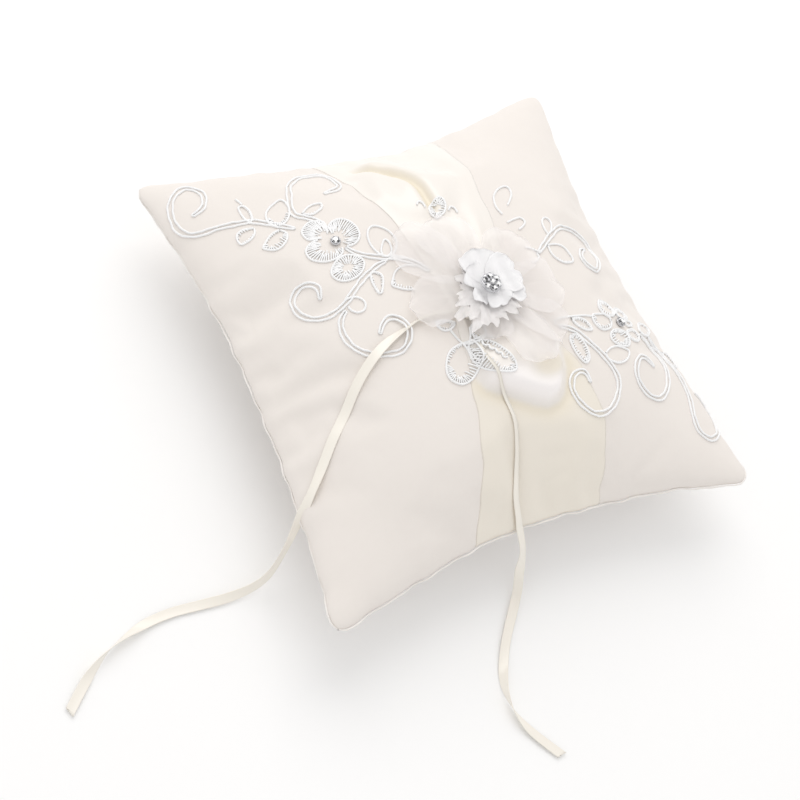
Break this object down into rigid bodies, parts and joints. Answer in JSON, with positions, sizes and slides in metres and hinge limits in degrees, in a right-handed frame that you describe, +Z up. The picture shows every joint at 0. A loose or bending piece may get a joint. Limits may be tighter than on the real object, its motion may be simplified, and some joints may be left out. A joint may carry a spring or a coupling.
{
  "type": "ring bearer pillow",
  "caption": "Square stuffed satin cushion with a gathered satin band, corded lace sprays, an organza flower with a crystal cluster and loose tie ribbons.",
  "frame": {"origin": "middle of the flat patch on the back that the pillow rests on, under the crown of the front", "axes": "+Z up out of the lace front, through the thickness; +X and +Y along the sides, with the ribbons leaving over the -X and -Y sides"},
  "size_m": [0.2993, 0.2736, 0.0764],
  "materials": {
    "cover_fabric": "matte ivory satin, dull side out",
    "filling": "loose white fibre",
    "band_satin": "glossy cream satin",
    "ribbon_satin": "glossy cream satin ribbon",
    "lace_thread": "white rayon thread, slight sheen",
    "organza": "sheer white organza",
    "felt": "white felt",
    "petal_satin": "white fine satin",
    "silver_claw": "bright silver plate",
    "crystal": "clear cut glass"
  },
  "bodies": {
    "root": {"back_cover": "cover_fabric", "cluster_cup": "silver_claw", "cluster_stone_1": "crystal", "cluster_stone_2": "crystal", "cluster_stone_3": "crystal", "cluster_stone_4": "crystal", "cluster_stone_5": "crystal", "cluster_stone_6": "crystal", "cluster_stone_7": "crystal", "fibre_filling": "filling", "flower_backing": "felt", "flower_lower_layer": "petal_satin", "flower_upper_layer": "petal_satin", "front_cover": "cover_fabric", "lace_centre_leaf_left": "lace_thread", "lace_centre_leaf_right": "lace_thread", "lace_centre_stem": "lace_thread", "lace_corner_scroll": "lace_thread", "lace_flower_left": "lace_thread", "lace_flower_right": "lace_thread", "lace_left_branch": "lace_thread", "lace_left_bud": "lace_thread", "lace_left_drop": "lace_thread", "lace_left_leaf_half": "lace_thread", "lace_left_leaf_inner": "lace_thread", "lace_left_leaf_lower": "lace_thread", "lace_left_leaf_open": "lace_thread", "lace_left_leaf_small": "lace_thread", "lace_left_leaf_upper": "lace_thread", "lace_left_oval": "lace_thread", "lace_left_scroll_lower": "lace_thread", "lace_left_scroll_upper": "lace_thread", "lace_left_stem_inner": "lace_thread", "lace_left_stem_outer": "lace_thread", "lace_right_branch": "lace_thread", "lace_right_bud": "lace_thread", "lace_right_leaf_inner": "lace_thread", "lace_right_leaf_middle": "lace_thread", "lace_right_leaf_small": "lace_thread", "lace_right_leaf_stitched": "lace_thread", "lace_right_leaf_upper": "lace_thread", "lace_right_oval": "lace_thread", "lace_right_scroll_inner": "lace_thread", "lace_right_scroll_outer": "lace_thread", "lace_top_petal": "lace_thread", "organza_petal_1": "organza", "organza_petal_2": "organza", "organza_petal_3": "organza", "organza_petal_4": "organza", "organza_petal_5": "organza", "organza_petal_6": "organza", "organza_petal_7": "organza", "ribbon_left": "ribbon_satin", "ribbon_right": "ribbon_satin", "ribbon_tack": "ribbon_satin", "satin_band": "band_satin", "stone_cup_left": "silver_claw", "stone_cup_right": "silver_claw", "stone_left": "crystal", "stone_right": "crystal"}
  },
  "joints": []
}
